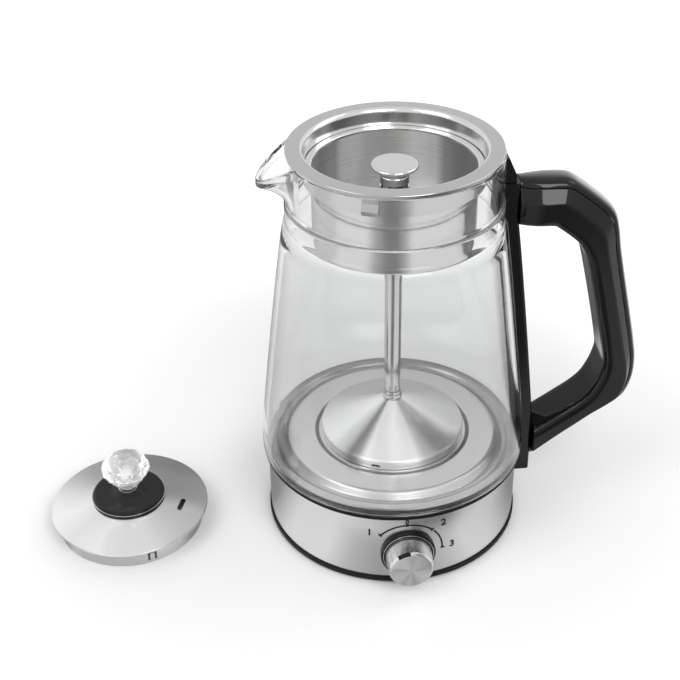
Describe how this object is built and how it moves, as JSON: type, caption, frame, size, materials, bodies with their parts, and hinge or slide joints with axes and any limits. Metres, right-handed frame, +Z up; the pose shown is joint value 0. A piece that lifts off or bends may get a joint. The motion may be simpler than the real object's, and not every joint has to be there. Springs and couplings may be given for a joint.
{
  "type": "automatic tea maker",
  "caption": "Glass tea maker: a heated base with a rotary knob, a lift-out steel basket on a riser tube with a funnel foot, a black handle, and a domed lid laid beside it.",
  "frame": {"origin": "where the jug's axis meets the surface that the feet stand on, 1 mm below the base's underside", "axes": "+Z up along the jug's axis; the knob faces -Y; the handle is at +X; the spout and the lid are towards -X; the power inlet is at +Y"},
  "size_m": [0.2967, 0.1414, 0.2033],
  "materials": {
    "steel_brushed": "fine brushed stainless steel",
    "steel_polished": "polished stainless steel",
    "steel_satin": "satin stainless steel",
    "steel_zinc": "zinc plated steel",
    "plastic_gloss_black": "glossy black plastic",
    "plastic_matt_black": "matt black plastic",
    "rubber_black": "black silicone rubber",
    "glass_clear": "clear heat-proof glass",
    "crystal_clear": "clear faceted crystal glass",
    "aluminium_cast": "cast aluminium",
    "brass": "bare brass",
    "ceramic_white": "white ceramic",
    "wire_brown": "brown wire insulation",
    "wire_blue": "blue wire insulation",
    "wire_green": "green wire insulation"
  },
  "bodies": {
    "base": {"base_cover": "plastic_matt_black", "foot_1": "rubber_black", "foot_2": "rubber_black", "foot_3": "rubber_black", "foot_4": "rubber_black", "cover_screw_1": "steel_zinc", "cover_screw_2": "steel_zinc", "cover_screw_3": "steel_zinc", "base_skirt": "steel_brushed", "seal_ring": "rubber_black", "clamp_ring": "aluminium_cast", "glass_jug": "glass_clear", "heating_plate": "steel_satin", "plate_seal": "rubber_black", "heat_spreader": "aluminium_cast", "heating_element": "steel_satin", "thermostat": "ceramic_white", "thermal_fuse": "ceramic_white", "switch_body": "plastic_matt_black", "knob_bezel": "plastic_gloss_black", "inlet_socket": "plastic_matt_black", "pin_live": "brass", "pin_neutral": "brass", "pin_earth": "brass", "wire_live": "wire_brown", "wire_switched": "wire_brown", "wire_neutral": "wire_blue", "wire_earth": "wire_green", "handle_spine": "plastic_gloss_black", "handle_hook": "plastic_gloss_black", "handle_body": "plastic_gloss_black", "handle_cap": "plastic_gloss_black", "handle_screw_upper": "steel_zinc", "handle_screw_lower": "steel_zinc"},
    "control": {"control_knob": "steel_polished", "switch_shaft": "brass"},
    "basket": {"basket_rim": "steel_brushed", "basket_cup": "steel_brushed", "rim_spring_1": "steel_brushed", "rim_spring_2": "steel_brushed", "riser_tube": "steel_polished", "tube_nut": "steel_brushed", "cap_seat": "steel_brushed", "tube_collar": "steel_polished", "funnel_cone": "steel_brushed"},
    "cap": {"spray_cap": "steel_polished"},
    "lid": {"lid_dome": "steel_brushed", "lid_skirt": "steel_brushed", "lid_disc": "plastic_gloss_black", "crystal_knob": "crystal_clear", "lid_screw": "steel_zinc", "lid_washer": "steel_zinc"}
  },
  "joints": [
    {"name": "knob_turn", "type": "hinge", "parent": "base", "child": "control", "pos_m": [0, -0.0652, 0.0192], "axis": [0, -1, 0], "range_deg": [-100, 70]},
    {"name": "basket_lift", "type": "slide", "parent": "base", "child": "basket", "axis": [0, 0, 1], "range_m": [0, 0.17]},
    {"name": "cap_lift", "type": "slide", "parent": "basket", "child": "cap", "axis": [0, 0, 1], "range_m": [0, 0.03]},
    {"name": "lid_lift", "type": "slide", "parent": "base", "child": "lid", "axis": [0, 0, 1], "range_m": [0, 0.2]}
  ]
}
